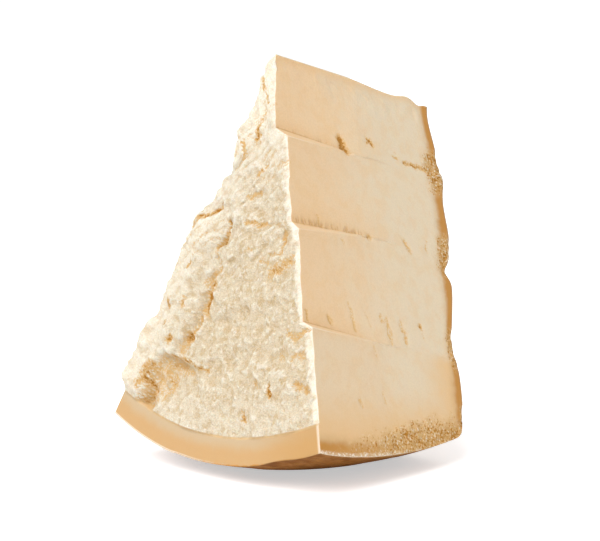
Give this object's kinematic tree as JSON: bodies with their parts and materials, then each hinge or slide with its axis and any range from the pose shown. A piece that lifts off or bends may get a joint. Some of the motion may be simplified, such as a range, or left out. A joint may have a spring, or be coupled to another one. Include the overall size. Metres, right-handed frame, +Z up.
{
  "type": "hard cheese wedge",
  "caption": "Wedge of aged hard grating cheese with rind, standing on its round side rind, one side cut in steps and the front broken open.",
  "frame": {"origin": "middle of the small flat spot that the wedge rests on, under its centre of mass", "axes": "+Z up, from the round side rind to the tip edge; -Y out of the broken front face, where the wheel was split in half; +X to the side with the stepped knife cut"},
  "size_m": [0.152, 0.157, 0.2014],
  "materials": {
    "cheese": "pale straw cheese, dry and matt where it is broken, faintly waxy where it is cut, with a golden brown rind"
  },
  "bodies": {
    "root": {"cheese_wedge": "cheese"}
  },
  "joints": []
}
